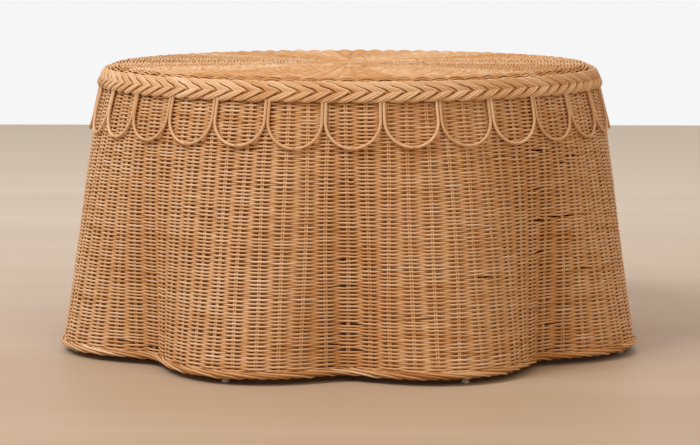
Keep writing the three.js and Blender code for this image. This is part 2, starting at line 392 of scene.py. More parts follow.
@dataclass(frozen=True)
class PlasticFinish(Finish):
    """Clear moulded PVC: a soft, slightly yellowed see-through plastic that floors have scuffed matt."""

    name: str = "clear PVC, moulded"
    slot: Slot = Slot.PLASTIC
    tint: str = "#e9e6da"
    scuffed: str = "#cfcbbb"
    scuff: float = 1.2 * MM
    roughness: float = 0.22
    scuffed_roughness: float = 0.57

    def surface(self, tree: bpy.types.NodeTree) -> bpy.types.Node:
        """Scuff the clear plastic in spots.

        Args:
            tree: The material's node tree.

        Returns:
            The shader.
        """
        place = add_node(tree, "ShaderNodeTexCoord")
        scuffs = add_node(
            tree, "ShaderNodeTexNoise", {"Scale": 1 / self.scuff, "Detail": 3.0},
            {"Vector": place.outputs["Object"]},
        )
        haze = add_node(
            tree, "ShaderNodeMapRange",
            {"From Min": 0.4, "From Max": 0.7, "To Min": self.roughness, "To Max": self.scuffed_roughness},
            {"Value": scuffs.outputs[0]},
        )
        tone = add_node(
            tree, "ShaderNodeValToRGB", {"stops": [(0.3, self.tint), (0.75, self.scuffed)]},
            {0: scuffs.outputs[0]},
        )
        return add_node(
            tree, "ShaderNodeBsdfPrincipled", {"IOR": 1.53, "Transmission Weight": 0.4},
            {"Base Color": tone.outputs[0], "Roughness": haze.outputs[0]},
        )


@dataclass(frozen=True)
class FloorFinish(Finish):
    """Matt lacquered pale oak, faintly clouded, that looks warmer close to the camera."""

    name: str = "pale oak floor, matt lacquer"
    warm: str = "#b59d84"
    pale: str = "#e4d7c8"
    near: float = -0.6
    far: float = 2.2
    cloud_tone: float = 0.1

    def surface(self, tree: bpy.types.NodeTree) -> bpy.types.Node:
        """Fade the floor from front to back, with clouds drawn out along Y.

        Args:
            tree: The material's node tree.

        Returns:
            The shader.
        """
        place = add_node(tree, "ShaderNodeTexCoord")
        parts = add_node(tree, "ShaderNodeSeparateXYZ", links={0: place.outputs["Object"]})
        depth = add_node(
            tree, "ShaderNodeMapRange", {"From Min": self.near, "From Max": self.far}, {0: parts.outputs["Y"]}
        )
        stretched = add_node(
            tree, "ShaderNodeMapping", {"Scale": (0.25, 2.2, 1.0)}, {"Vector": place.outputs["Object"]}
        )
        cloud = add_node(
            tree, "ShaderNodeTexNoise", {"Scale": 2.0, "Detail": 4.0, "Roughness": 0.55},
            {"Vector": stretched.outputs[0]},
        )
        mottle = add_node(
            tree, "ShaderNodeMapRange",
            {"From Min": 0.3, "From Max": 0.7, "To Min": -self.cloud_tone, "To Max": self.cloud_tone},
            {0: cloud.outputs[0]},
        )
        shade = add_node(
            tree, "ShaderNodeMath", {"operation": "ADD", "use_clamp": True},
            {0: depth.outputs[0], 1: mottle.outputs[0]},
        )
        colour = add_node(
            tree, "ShaderNodeValToRGB", {"stops": [(0.0, self.warm), (1.0, self.pale)]},
            {0: shade.outputs[0]},
        )
        return add_node(
            tree, "ShaderNodeBsdfPrincipled", {"Roughness": 0.55, "Specular IOR Level": 0.3},
            {"Base Color": colour.outputs[0]},
        )


# Helpers for meshes


@dataclass
class Cane:
    """One length of cane or pole: its middle line, and its tone and girth at each point of that line.

    Where it lies in a weave, out is the way out of the weave at each point, and swing says how far it swings
    to that side (up to 1) or the other (down to -1). The tone paints light by it: the side that shows gets a
    painted highlight and the side in a crevice painted shade.
    """

    line: np.ndarray
    tone: np.ndarray | float = 0.5
    girth: np.ndarray | float = 1.0
    closed: bool = False
    out: np.ndarray | None = None
    swing: np.ndarray | None = None

    def part(self, start: int, end: int) -> "Cane":
        """Cut a stretch out of the cane.

        Args:
            start: First point of its line.
            end: The point after its last one.

        Returns:
            The stretch as a cane of its own.
        """
        tone, out, swing = (
            value[start:end] if isinstance(value, np.ndarray) else value
            for value in (self.tone, self.out, self.swing)
        )
        return Cane(self.line[start:end], tone, self.girth, False, out, swing)

    def tones(
        self, places: np.ndarray, shown: float = 0.1, hidden: float = 0.6, steep: float = 1.4
    ) -> np.ndarray:
        """Tone at each corner of the cane's mesh, with painted shade and painted highlight.

        Args:
            places: The corners, one ring of them for each point of the line.
            shown: How much a side that swings out is lightened as painted highlight.
            hidden: How much a side that lies in a crevice is darkened as painted shade.
            steep: How quickly the tone turns around the cane.

        Returns:
            One row of tones for each ring.
        """
        rings = places.shape[:2]
        tone = np.broadcast_to(np.broadcast_to(self.tone, rings[0])[:, None], rings)
        if self.out is None or self.swing is None:
            return tone
        around = places - self.line[:, None]
        around /= np.linalg.norm(around, axis=2, keepdims=True)
        facing = np.clip(steep * (around * self.out[:, None]).sum(axis=2), -1, 1) * self.swing[:, None]
        # painted highlight where a side swings out, painted shade where it lies in a crevice
        return np.clip(tone + np.where(facing > 0, shown, hidden) * facing, 0.0, 1.0)


def work_on(piece: bpy.types.Object) -> None:
    """Deselect everything and make one piece the selected and active one.

    Args:
        piece: The piece.
    """
    bpy.ops.object.select_all(action="DESELECT")
    piece.select_set(True)
    bpy.context.view_layer.objects.active = piece


def select_where(piece: bpy.types.Object, test: Callable[[Vector, Vector], bool]) -> None:
    """Select the faces whose middle and normal pass a test, with the piece left in edit mode.

    Args:
        piece: The piece that is being edited.
        test: Takes a face's middle and normal.
    """
    bpy.ops.object.mode_set(mode="EDIT")
    bpy.ops.mesh.select_mode(type="FACE")
    bpy.ops.mesh.select_all(action="DESELECT")
    bpy.ops.object.mode_set(mode="OBJECT")
    for face in piece.data.polygons:
        face.select = test(face.center, face.normal)
    bpy.ops.object.mode_set(mode="EDIT")


def along(line: np.ndarray) -> np.ndarray:
    """Distance of each point of a line from its start, measured along it."""
    return np.concatenate([[0.0], np.cumsum(np.linalg.norm(np.diff(line, axis=0), axis=1))])


def corners_of(piece: bpy.types.Object) -> np.ndarray:
    """Read the corners of a piece's mesh.

    Args:
        piece: The piece.

    Returns:
        One row of x, y and z for each corner.
    """
    places = np.empty(len(piece.data.vertices) * 3)
    piece.data.vertices.foreach_get("co", places)
    return places.reshape(-1, 3)


def mark_lay(piece: bpy.types.Object, lay: np.ndarray) -> None:
    """Keep the way along, the way around and the tone at each corner as a piece's attribute."""
    marks = piece.data.attributes.new(LAY, "FLOAT_VECTOR", "POINT")
    marks.data.foreach_set("vector", lay.ravel())


def lay_canes(name: str, canes: Sequence[Cane], thickness: float, sides: int) -> bpy.types.Object:
    """Draw canes as one curve, round it, turn it into a mesh and close its ends.

    Args:
        name: The piece's name.
        canes: The canes of the piece.
        thickness: Diameter of every cane.
        sides: Sides of a cane's section, 4 or more and even.

    Returns:
        The finished mesh object, at the origin, with its attribute.
    """
    curve = bpy.data.curves.new(name, "CURVE")
    curve.dimensions = "3D"
    curve.bevel_depth = thickness / 2
    curve.bevel_resolution = (sides - 4) // 2
    for cane in canes:
        count = len(cane.line)
        spline = curve.splines.new("POLY")
        spline.points.add(count - 1)
        spline.points.foreach_set("co", np.column_stack([cane.line, np.ones(count)]).ravel())
        spline.points.foreach_set("radius", np.broadcast_to(cane.girth, count).astype(float))
        spline.use_cyclic_u = cane.closed
    piece = bpy.data.objects.new(name, curve)
    bpy.context.collection.objects.link(piece)
    work_on(piece)
    bpy.ops.object.convert(target="MESH")
    piece = bpy.context.view_layer.objects.active
    places = corners_of(piece).reshape(-1, sides, 3)
    if len(places) != sum(len(cane.line) for cane in canes):
        raise ValueError(f"{name}: {len(places)} rings of corners")
    lay = np.empty(places.shape)
    lay[..., 1] = np.arange(sides) / sides
    first = 0
    for cane in canes:
        rings = slice(first, first + len(cane.line))
        lay[rings, :, 0] = along(cane.line)[:, None]
        # the tone, with its painted shade and painted highlight
        lay[rings, :, 2] = cane.tones(places[rings])
        first = rings.stop
    mark_lay(piece, lay)
    bpy.ops.object.mode_set(mode="EDIT")
    bpy.ops.mesh.select_mode(type="EDGE")
    bpy.ops.mesh.select_all(action="SELECT")
    bpy.ops.mesh.fill_holes(sides=sides)
    bpy.ops.object.mode_set(mode="OBJECT")
    bpy.ops.object.shade_smooth()
    return piece


def dress(piece: bpy.types.Object, coat: Coat, nodes: Iterable[str] = ()) -> None:
    """Put a finish on a piece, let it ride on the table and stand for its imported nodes.

    Args:
        piece: The finished piece.
        coat: Its finish.
        nodes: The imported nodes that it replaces.
    """
    piece.data.materials.clear()
    piece.data.materials.append(coat.material)
    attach(piece, BODY)
    names = list(nodes)
    if names:
        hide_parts(*names)
    log.info("%s: %d faces", piece.name, len(piece.data.polygons))


def ring_of(angle: np.ndarray, radius: np.ndarray | float, height: np.ndarray | float) -> np.ndarray:
    """Points at angles round the table's axis.

    Args:
        angle: Angles from the front.
        radius: Radius at each angle, or one for all.
        height: Height at each angle, or one for all.

    Returns:
        One row of x, y and z for each angle.
    """
    angle, radius, height = np.broadcast_arrays(angle, radius, height)
    return np.column_stack([radius * np.sin(angle), -radius * np.cos(angle), height])


def smooth_line(corners: np.ndarray, steps: int) -> np.ndarray:
    """Run a smooth line through corners, with the ends straight on.

    Args:
        corners: One row for each corner.
        steps: Points from one corner to the next.

    Returns:
        The points of the line.
    """
    padded = np.vstack([2 * corners[0] - corners[1], corners, 2 * corners[-1] - corners[-2]])
    points = []
    for before, start, end, after in zip(padded, padded[1:], padded[2:], padded[3:]):
        for share in np.arange(steps) / steps:
            points.append(
                0.5 * (2 * start + (end - before) * share
                       + (2 * before - 5 * start + 4 * end - after) * share ** 2
                       + (3 * start - before - 3 * end + after) * share ** 3)
            )
    points.append(corners[-1])
    return np.array(points)


# Helpers for weaves


def crossings(
    turns: int, stakes: int, places: Sequence[float], shares: Sequence[float], slack: np.ndarray
) -> tuple[np.ndarray, np.ndarray]:
    """Follow a weaver that changes sides at each stake.

    Args:
        turns: How often it goes round.
        stakes: Number of stakes, odd, so that each turn takes the other sides.
        places: Places of the weaver's points at a stake, as shares of the stakes' pitch.
        shares: How far it swings at each of them.
        slack: How much of the swing it takes at each stake.

    Returns:
        The way, counted in stakes, and the swing to the side that shows, at each point.
    """
    stake = np.arange(turns * stakes)[:, None]
    way = stake + np.array(places)
    swing = (1 - 2 * (stake % 2)) * np.array(shares) * slack[:, None]
    return way.ravel(), swing.ravel()


def spliced(
    draw: np.random.Generator, count: int, canes: int, length: tuple[int, int], tone: tuple[float, float]
) -> np.ndarray:
    """Tones of a weaver that is spliced from many canes.

    Args:
        draw: The source of chance.
        count: How many stakes it passes.
        canes: How many canes there are to take from.
        length: Least and greatest number of stakes that one cane passes.
        tone: Mean and spread of the canes' tones.

    Returns:
        The tone at each stake.
    """
    lengths = draw.integers(*length, canes)
    return np.repeat(draw.normal(*tone, canes), lengths)[:count]


def round_gap(angle: np.ndarray, degrees: float) -> np.ndarray:
    """Angles from a place that is given in degrees, the short way round."""
    return (angle - math.radians(degrees) + math.pi) % TURN - math.pi


@dataclass(frozen=True)
class Wave:
    """A slow wave, so many to a turn of the table, that moves on by a radian for each rise in height."""

    size: float
    count: int
    rise: float
    phase: float

    def at(self, angle: np.ndarray, height: np.ndarray) -> np.ndarray:
        """The wave at angles and heights."""
        return self.size * np.sin(self.count * angle + height / self.rise + self.phase)


# The form of the table, shared by its pieces


@dataclass(frozen=True)
class SkirtForm:
    """The skirt's outer face: round behind the rim, flared and fluted below it."""

    rim_underside: float = 410.5 * MM
    hem: float = 24.8 * MM
    top_radius: float = 400 * MM
    crest_radius: float = 477 * MM
    valley_radius: float = 416 * MM
    flutes: int = 8
    valley_round: float = 0.2
    bell: float = 0.25
    belly: float = 0.18
    depth_power: float = 1.5

    def crest(self, index: int) -> float:
        """Angle of a flute's crest, counted from the front."""
        return (index + 0.5) * TURN / self.flutes

    def fall(self, height: np.ndarray) -> np.ndarray:
        """Share of the way down from the rim's underside to the hem."""
        return np.clip((self.rim_underside - height) / (self.rim_underside - self.hem), 0, 1)

    def flute_share(self, angle: np.ndarray) -> np.ndarray:
        """Share of a flute's depth.

        Args:
            angle: Angles from the front.

        Returns:
            0 in a valley and 1 on a crest, with round valleys.
        """
        wave = np.sin(self.flutes * angle / 2)
        rounded = np.hypot(wave, self.valley_round) - self.valley_round
        return rounded / (math.hypot(1, self.valley_round) - self.valley_round)

    def radius(self, angle: np.ndarray, height: np.ndarray) -> np.ndarray:
        """Radius of the outer face.

        Args:
            angle: Angles from the front.
            height: Heights.

        Returns:
            The radius at each angle and height.
        """
        share = self.fall(height)
        flare = share + share * (1 - share) * (self.belly + self.bell * (1 - 2 * share))
        crest = self.top_radius + (self.crest_radius - self.top_radius) * flare
        depth = (self.crest_radius - self.valley_radius) * share ** self.depth_power
        return crest - depth * (1 - self.flute_share(angle))

    def point(
        self,
        angle: np.ndarray | float,
        height: np.ndarray | float,
        depth: np.ndarray | float,
        at_height: np.ndarray | float | None = None,
    ) -> np.ndarray:
        """Points inside the outer face, measured square to it as seen from above.

        Args:
            angle: Angles from the front.
            height: Heights at which the face is taken.
            depth: Depths inside the face; outside it they are negative.
            at_height: Heights of the points, where they differ from those of the face.

        Returns:
            One row of x, y and z for each point.
        """
        lift = height if at_height is None else at_height
        angle, height, depth, lift = np.broadcast_arrays(angle, height, depth, lift)
        probe = 0.001
        radius = self.radius(angle, height)
        rise = self.radius(angle + probe, height) - self.radius(angle - probe, height)
        slope = rise / (2 * probe)
        out = np.column_stack([
            radius * np.sin(angle) - slope * np.cos(angle),
            -radius * np.cos(angle) - slope * np.sin(angle),
        ])
        out /= np.linalg.norm(out, axis=1)[:, None]
        face = ring_of(angle, radius, lift)
        face[:, :2] -= out * depth[:, None]
        return face


@dataclass
class WovenSkirt:
    """The skirt: one long weaver that goes in front of and behind double stakes, row after row.

    Painted shade makes the hollows between the flutes a little darker, more so lower down.
    """

    form: SkirtForm
    stakes: int = 87
    first_stake: float = math.radians(0.29)
    stake_cane: float = 2.9 * MM
    stake_spread: float = 3.1 * MM
    stake_lift: float = 0.5 * MM
    stake_foot: float = 15.5 * MM
    stake_end: float = 419.5 * MM
    stake_points: int = 18
    stake_stray: float = 0.15 * MM
    stake_tone: tuple[float, float] = (0.66, 0.08)
    stake_waves: Sequence[Wave] = (
        Wave(0.0034, 13, 120 * MM, 0.6), Wave(0.0028, 23, -90 * MM, 2.1), Wave(0.0024, 38, 70 * MM, 4.0),
    )
    weaver: float = 3.4 * MM
    weaver_places: Sequence[float] = (-0.23, 0.23, 0.43, 0.57)
    weaver_shares: Sequence[float] = (1.0, 1.0, 0.14, -0.14)
    slack: tuple[float, float] = (0.82, 1.12)
    middle_depth: float = 3.6 * MM
    sway: float = 2.0 * MM
    row_pitch: float = 2.77 * MM
    lowest: float = 18.46 * MM
    highest: float = 417.5 * MM
    row_stray: float = 0.14 * MM
    row_waves: Sequence[Wave] = (
        Wave(0.5 * MM, 3, 9 * MM, 0.0), Wave(0.35 * MM, 7, -5.5 * MM, 1.3),
        Wave(0.25 * MM, 17, 3.6 * MM, 0.4),
    )
    row_start: float = 12 * MM  # height over the lowest row at which the rows wander freely
    spliced_stakes: tuple[int, int] = (60, 170)
    weaver_tone: tuple[float, float] = (0.64, 0.025)
    crossing_tone: float = 0.06
    # painted shade that darkens the hollows between the flutes
    painted_valley_shade: float = 0.12
    bands: int = 5
    sides: int = 6
    # Stretches where the weaver is drawn tight and swings less: middle and half width in degrees
    tight: Sequence[tuple[float, float]] = (
        (-152, 22), (-104, 20), (-9, 5), (12, 7), (27, 10), (60, 9), (108, 22), (158, 20),
    )
    tight_sway: float = 0.8
    # share of the painted crevice shade and highlight that is kept where the weaver is tight
    tight_shade: float = 0.42
    # Slits where two rows have parted: angle in degrees, height, half width in degrees and opening
    slits: Sequence[tuple[float, float, float, float]] = (
        (-66.5, 342 * MM, 0.9, 3 * MM), (-51.7, 34 * MM, 1.5, 2.6 * MM), (-45, 27 * MM, 1.9, 3 * MM),
        (-42, 108 * MM, 0.9, 3.6 * MM), (-41.2, 344 * MM, 0.9, 3.2 * MM), (-23.2, 311.5 * MM, 1.3, 2.8 * MM),
        (-21.9, 377.5 * MM, 1, 2.4 * MM), (-19.3, 340 * MM, 1.8, 3.6 * MM), (-2, 55 * MM, 1.1, 2.8 * MM),
        (-0.7, 141 * MM, 2, 3 * MM), (-0.5, 180 * MM, 0.9, 3.6 * MM), (-0.3, 86 * MM, 1.4, 3 * MM),
        (0, 69 * MM, 1.7, 3.6 * MM), (0, 48 * MM, 1.6, 3.4 * MM), (0.8, 260 * MM, 0.7, 3.2 * MM),
        (0.8, 296 * MM, 0.7, 3.2 * MM), (2, 85 * MM, 1.1, 2.6 * MM), (2.4, 48 * MM, 1.2, 3.2 * MM),
        (14.5, 98 * MM, 1.3, 3 * MM), (27.2, 153 * MM, 1.9, 3.6 * MM), (35.6, 349 * MM, 1.1, 3 * MM),
        (43.1, 272 * MM, 1, 3.6 * MM), (43.7, 177 * MM, 1.5, 4.2 * MM), (43.8, 353 * MM, 0.9, 3 * MM),
        (44, 226.5 * MM, 1.2, 4.4 * MM), (44.3, 329.5 * MM, 1.6, 4.4 * MM), (45.8, 104 * MM, 1.6, 4.4 * MM),
        (46.3, 64 * MM, 1.9, 5 * MM), (46.8, 27 * MM, 1.8, 3 * MM), (48, 228 * MM, 1, 3.6 * MM),
        (51, 307 * MM, 1.1, 3 * MM), (51.2, 228.5 * MM, 2, 4.4 * MM), (54.5, 317 * MM, 2, 4.4 * MM),
        (55.7, 146 * MM, 1.4, 2.6 * MM), (56.5, 229 * MM, 0.9, 3 * MM), (57.7, 327.5 * MM, 1.2, 3.2 * MM),
        (62, 114.5 * MM, 0.9, 3.2 * MM), (69.5, 350 * MM, 1.1, 3.2 * MM),
    )
    slit_reach: float = 7 * MM

    def strayed(self, angle: np.ndarray, height: np.ndarray) -> np.ndarray:
        """Angles at which the stakes really stand, which bunch up a little here and there.

        Args:
            angle: Angles of an even spacing.
            height: Heights at which they are wanted.

        Returns:
            The same angles, strayed.
        """
        return angle + sum(wave.at(angle, height) for wave in self.stake_waves)

    def parted(self, angle: np.ndarray, height: np.ndarray) -> np.ndarray:
        """Heights of the rows, with their slow wander and the slits.

        Args:
            angle: Angles from the front.
            height: Heights of even rows.

        Returns:
            The heights that the rows really lie at.
        """
        free = np.clip((height - self.lowest) / self.row_start, 0, 1)
        lain = height + free * sum(wave.at(angle, height) for wave in self.row_waves)
        for middle, level, half_width, opening in self.slits:
            near = np.exp(-(round_gap(angle, middle) / math.radians(half_width)) ** 2)
            off = height - level
            lain += opening / 2 * near * np.sign(off) * np.exp(-np.abs(off) / self.slit_reach)
        return lain

    def tightness(self, angle: np.ndarray) -> np.ndarray:
        """How tightly the weaver is drawn.

        Args:
            angle: Angles from the front.

        Returns:
            A share from 0 to 1 at each angle.
        """
        near = [
            np.exp(-(round_gap(angle, middle) / math.radians(width)) ** 2) for middle, width in self.tight
        ]
        return np.clip(sum(near), 0, 1)

    def weaver_cane(self) -> Cane:
        """Lead the weaver from the hem to the rim.

        Returns:
            The weaver as one cane.
        """
        draw = np.random.default_rng(29)
        turns = int((self.highest - self.lowest) / self.row_pitch)
        count = turns * self.stakes
        points = len(self.weaver_places)
        slack = draw.uniform(*self.slack, count)
        way, front = crossings(turns, self.stakes, self.weaver_places, self.weaver_shares, slack)
        angle = self.first_stake + way * TURN / self.stakes
        height = self.parted(angle, self.lowest + way * self.row_pitch / self.stakes)
        height += np.repeat(draw.normal(0, self.row_stray, count), points)
        angle = self.strayed(angle, height)
        tight = self.tightness(angle)
        sway = self.sway * (1 - (1 - self.tight_sway) * tight)
        line = self.form.point(angle, height, self.middle_depth - front * sway)
        out = self.form.point(angle, height, -1.0) - self.form.point(angle, height, 0.0)
        tones = spliced(draw, count, turns * 2, self.spliced_stakes, self.weaver_tone)
        tones += draw.normal(0, self.crossing_tone, count)
        # painted shade: darker in the hollows between the flutes, more so lower down
        valley_shade_mask = (1 - self.form.flute_share(angle)) ** 2 * self.form.fall(height) ** 0.5
        # painted shade in the crevices and painted highlight where the weaver swings out, less where it is
        # tight
        shade = front * (1 - (1 - self.tight_shade) * tight)
        return Cane(line, np.repeat(tones, points) - self.painted_valley_shade * valley_shade_mask, out=out, swing=shade)

    def stake_lines(self) -> list[Cane]:
        """Stand the double stakes from the hem up into the rim.

        Returns:
            Two canes for each stake.
        """
        draw = np.random.default_rng(87)
        height = np.linspace(self.stake_foot, self.stake_end, self.stake_points)
        canes = []
        for index in range(self.stakes):
            middle = self.first_stake + index * TURN / self.stakes
            for side in (-1, 1):
                stray = draw.normal(0, self.stake_stray, len(height))
                angle = self.strayed(np.full_like(height, middle), height)
                angle = angle + (side * self.stake_spread / 2 + stray) / self.form.radius(angle, height)
                line = self.form.point(angle, height, self.middle_depth - self.stake_lift)
                canes.append(Cane(line, float(np.clip(draw.normal(*self.stake_tone), 0, 1))))
        return canes

    def build(self, coat: Coat) -> None:
        """Weave the skirt in bands of rows over its stakes.

        Args:
            coat: The finish of the weave.
        """
        weaver = self.weaver_cane()
        edges = np.linspace(0, len(weaver.line) - 1, self.bands + 1).astype(int)
        for band, (start, end) in enumerate(zip(edges, edges[1:]), 1):
            rows = [weaver.part(start, end + 1)]
            dress(lay_canes(f"skirt_rows_{band}", rows, self.weaver, self.sides), coat, ["skirt"])
        stakes = lay_canes("skirt_stakes", self.stake_lines(), self.stake_cane, self.sides)
        dress(stakes, coat, ["skirt"])


@dataclass
class HemBorder:
    """The rolled border: each pair of stake ends comes out, runs on past its neighbours and tucks under.

    One cane of a pair shows and the other fills the gap behind it, darkened with painted shade.
    """

    form: SkirtForm
    stakes: int = 87
    first_stake: float = math.radians(0.29)
    cane: float = 3.4 * MM
    run: float = 2.6
    lead: float = 0.5
    sunk: float = 2.2 * MM
    tone: tuple[float, float] = (0.56, 0.11)
    cane_tone: float = 0.05
    # painted shade on the cane of a pair that lies behind
    painted_shade_behind: float = 0.2
    stray: float = 0.35 * MM
    core_cane: float = 8 * MM
    core_depth: float = 6 * MM
    core_drop: float = 8.3 * MM
    # the core's dark tone is painted shade seen in the gaps between the border's canes
    core_tone: float = 0.3
    core_points: int = 240

    def strand(self, start: float, behind: bool) -> np.ndarray:
        """One cane of the border from behind the last row to its tucked end.

        Args:
            start: Angle of the stake that it comes from.
            behind: Whether it is the cane of the pair that lies behind.

        Returns:
            The points of its line.
        """
        share = np.array([0.0, 0.1, 0.2, 0.34, 0.5, 0.66, 0.8, 0.91, 1.0])
        drop = np.array([3.6, 4.9, 6.0, 7.2, 8.6, 10.2, 12.0, 14.4, 13.4]) * MM
        depth = np.array([4.5, 0.8, -1.4, -2.4, -2.9, -2.8, -1.8, 1.8, 6.5]) * MM + self.sunk * behind
        angle = start + (share * self.run + self.lead * behind) * TURN / self.stakes
        return smooth_line(self.form.point(angle, self.form.hem, depth, self.form.hem - drop), 2)

    def build(self, coat: Coat) -> None:
        """Lay the border's canes over a core that fills it.

        Args:
            coat: The finish of the plaited canes.
        """
        draw = np.random.default_rng(17)
        canes = []
        for index in range(self.stakes):
            start = self.first_stake + index * TURN / self.stakes
            pair_tone = draw.normal(*self.tone)
            for behind in (False, True):
                line = self.strand(start, behind)
                line[:, 2] += draw.normal(0, self.stray)
                # the cane behind is darkened as painted shade
                tone = pair_tone + draw.normal(0, self.cane_tone) - self.painted_shade_behind * behind
                canes.append(Cane(line, float(np.clip(tone, 0.1, 0.95))))
        dress(lay_canes("hem_border_canes", canes, self.cane, 6), coat, ["hem_border"])
        angle = np.linspace(0, TURN, self.core_points, endpoint=False)
        middle = self.form.point(angle, self.form.hem, self.core_depth, self.form.hem - self.core_drop)
        core = [Cane(middle, self.core_tone, closed=True)]
        dress(lay_canes("hem_border_core", core, self.core_cane, 8), coat, ["hem_border"])


@dataclass
class WovenTop:
    """The top: spokes from a coiled centre and one long weaver that spirals out to the rim.

    The canes between two of the inner spokes share a tone, a painted sheen in light and dark sectors,
    so the top looks like a sunburst.
    """

    face: float = 446.5 * MM
    radius: float = 392.5 * MM
    edge: float = 20 * MM
    edge_drop: float = 7 * MM
    coil_radius: float = 20 * MM
    coil_start: float = 1.2 * MM
    coil_sunk: float = 0.4 * MM
    coil_tone: float = 0.62
    coil_points: int = 260
    split_radius: float = 126 * MM
    inner_spokes: int = 29
    outer_spokes: int = 87
    first_spoke: float = math.radians(0.29)
    spoke_cane: float = 2.5 * MM
    spoke_spread: float = 3.0 * MM
    spoke_least: float = 0.4 * MM  # least distance of a cane from the middle of its pair
    spoke_overlap: float = 4 * MM
    spoke_points: int = 12
    spoke_tone: tuple[float, float] = (0.66, 0.08)
    weaver: float = 3.0 * MM
    weaver_places: Sequence[float] = (-0.12, 0.12, 0.38, 0.62)
    weaver_shares: Sequence[float] = (1.0, 1.0, 0.36, -0.36)
    slack: tuple[float, float] = (0.85, 1.1)
    sway: float = 2.5 * MM
    row_pitch: float = 2.65 * MM
    row_gap: float = 1.5 * MM
    spliced_spokes: tuple[int, int] = (50, 160)
    weaver_tone: tuple[float, float] = (0.54, 0.03)
    # painted sheen: light and dark sectors of the top
    painted_wedge_sheen: float = 0.06
    crossing_tone: float = 0.08
    sides: int = 6

    def surface(self, radius: np.ndarray) -> np.ndarray:
        """Height of the middle of the weave, which curves down at the edge."""
        share = np.clip((radius - (self.radius - self.edge)) / self.edge, 0, 1.2)
        return self.face - self.edge_drop * share ** 2 - self.sway - self.weaver / 2

    def rows(self, start: float, end: float, spokes: int, seed: int) -> Cane:
        """The weaver over one set of spokes.

        Args:
            start: Radius at which it starts.
            end: Radius at which it ends.
            spokes: Number of spokes, odd, so that each turn changes sides.
            seed: Seed of its tones.

        Returns:
            The weaver as one cane.
        """
        draw = np.random.default_rng(seed)
        turns = int(round((end - start) / self.row_pitch))
        count = turns * spokes
        slack = draw.uniform(*self.slack, count)
        way, above = crossings(turns, spokes, self.weaver_places, self.weaver_shares, slack)
        angle = self.first_spoke + way * TURN / spokes
        wander = 0.4 * MM * np.sin(5 * angle + way * 0.013) + 0.3 * MM * np.sin(11 * angle - way * 0.021)
        radius = start + way * self.row_pitch / spokes + wander
        line = ring_of(angle, radius, self.surface(radius) + above * self.sway)
        # painted sheen: a lighter or darker tone for each sector between inner spokes
        wedges = draw.normal(0, self.painted_wedge_sheen, self.inner_spokes)
        wedge = np.arange(count) % spokes * self.inner_spokes // spokes
        tones = spliced(draw, count, turns * 3, self.spliced_spokes, self.weaver_tone)
        tones += wedges[wedge] + draw.normal(0, self.crossing_tone, count)
        up = np.broadcast_to([0.0, 0.0, 1.0], line.shape)
        # painted highlight where the weaver rises over a spoke, painted shade where it dives under one
        return Cane(line, np.repeat(tones, len(self.weaver_places)), out=up, swing=above)

    def spoke_lines(self, start: float, end: float, spokes: int, seed: int) -> list[Cane]:
        """Lay double spokes between two radii, which close up where they crowd.

        Args:
            start: Radius at which they start.
            end: Radius at which they end.
            spokes: Number of spokes.
            seed: Seed of their tones.

        Returns:
            Two canes for each spoke.
        """
        draw = np.random.default_rng(seed)
        radius = np.linspace(start, end, self.spoke_points)
        spread = np.minimum(self.spoke_spread, radius * TURN / spokes - self.spoke_cane) / 2
        aside = np.maximum(spread, self.spoke_least) / radius
        canes = []
        for index in range(spokes):
            for side in (-1, 1):
                angle = self.first_spoke + index * TURN / spokes + side * aside
                line = ring_of(angle, radius, self.surface(radius))
                canes.append(Cane(line, float(np.clip(draw.normal(*self.spoke_tone), 0, 1))))
        return canes

    def coil(self) -> Cane:
        """Coil the centre that holds the spokes.

        Returns:
            The coil as one cane.
        """
        way = np.linspace(0, 1, self.coil_points)
        wide = self.coil_radius - self.coil_start
        angle = TURN * wide / self.weaver * way
        height = self.face - self.weaver / 2 - self.coil_sunk
        return Cane(ring_of(angle, self.coil_start + way * wide, height), self.coil_tone)

    def build(self, coat: Coat) -> None:
        """Weave the top from its centre to the rim.

        Args:
            coat: The finish of the weave.
        """
        inner = self.rows(self.coil_radius + self.row_gap, self.split_radius, self.inner_spokes, 3)
        outer = self.rows(self.split_radius, self.radius, self.outer_spokes, 4)
        third = len(outer.line) // 3
        bands = {
            "top_rows_inner": inner,
            "top_rows_middle": outer.part(0, third + 1),
            "top_rows_outer": outer.part(third, 2 * third + 1),
            "top_rows_edge": outer.part(2 * third, len(outer.line)),
        }
        for name, cane in bands.items():
            dress(lay_canes(name, [cane], self.weaver, self.sides), coat, ["woven_top"])
        overlap = self.spoke_overlap
        spokes = self.spoke_lines(self.coil_radius - overlap, self.split_radius, self.inner_spokes, 5)
        spokes += self.spoke_lines(self.split_radius - overlap, self.radius, self.outer_spokes, 6)
        dress(lay_canes("top_spokes", spokes, self.spoke_cane, self.sides), coat, ["woven_top"])
        dress(lay_canes("top_centre", [self.coil()], self.weaver, self.sides), coat, ["woven_top"])


